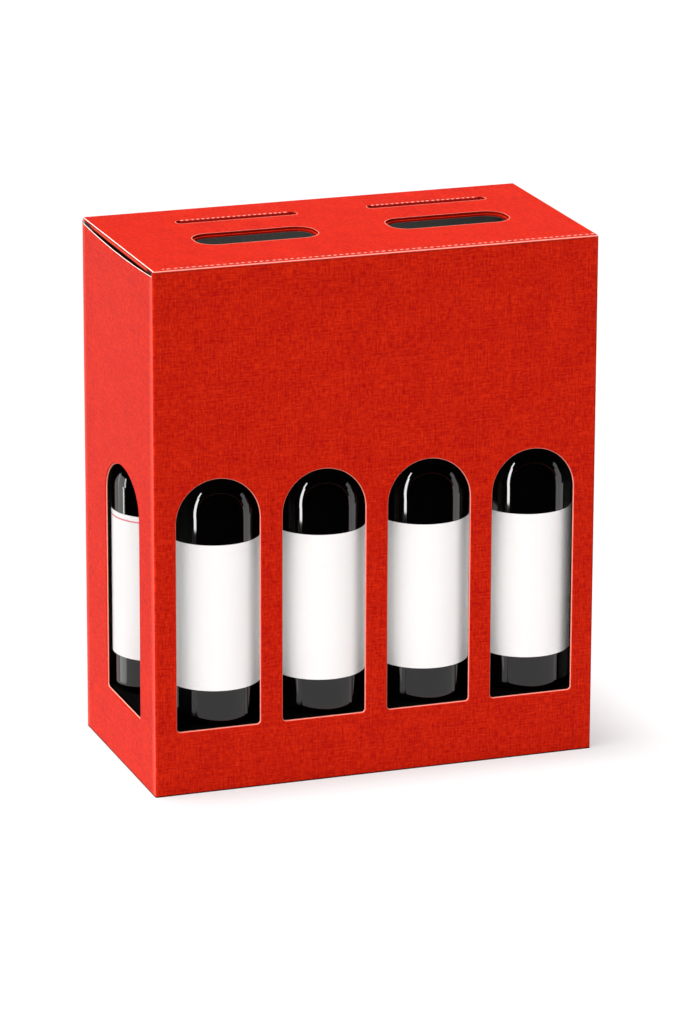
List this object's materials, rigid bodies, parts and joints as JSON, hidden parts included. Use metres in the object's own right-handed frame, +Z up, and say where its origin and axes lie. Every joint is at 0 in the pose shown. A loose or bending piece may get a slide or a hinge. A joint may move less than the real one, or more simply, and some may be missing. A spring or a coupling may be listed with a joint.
{
  "type": "bottle gift box",
  "caption": "Red linen-textured card gift carton with arched windows that show dark, white-labelled wine bottles; hand holes and a tab-locked lid on top",
  "frame": {"origin": "middle of the base, on the surface that the box stands on", "axes": "+Z up; the wall with the window row faces -Y; +X to the right as seen from the front"},
  "size_m": [0.332, 0.168, 0.385],
  "materials": {
    "linen_card": "satin",
    "tray_card": "matte",
    "bottle_glass": "gloss",
    "label_paper": "matte",
    "capsule_foil": "satin"
  },
  "bodies": {
    "carton": {"carton_body": "linen_card", "bottle_stand": "tray_card", "neck_tray": "tray_card", "bottle_front_1": "bottle_glass", "label_front_1": "label_paper", "capsule_front_1": "capsule_foil", "bottle_front_2": "bottle_glass", "label_front_2": "label_paper", "capsule_front_2": "capsule_foil", "bottle_front_3": "bottle_glass", "label_front_3": "label_paper", "capsule_front_3": "capsule_foil", "bottle_front_4": "bottle_glass", "label_front_4": "label_paper", "capsule_front_4": "capsule_foil", "bottle_back_1": "bottle_glass", "label_back_1": "label_paper", "capsule_back_1": "capsule_foil", "bottle_back_2": "bottle_glass", "label_back_2": "label_paper", "capsule_back_2": "capsule_foil", "bottle_back_3": "bottle_glass", "label_back_3": "label_paper", "capsule_back_3": "capsule_foil", "bottle_back_4": "bottle_glass", "label_back_4": "label_paper", "capsule_back_4": "capsule_foil"},
    "lid": {"lid": "linen_card"}
  },
  "joints": [
    {"name": "lid_hinge", "type": "hinge", "parent": "carton", "child": "lid", "pos_m": [0, -0.084, 0.385], "axis": [1, 0, 0], "range_deg": [0, 180]}
  ]
}
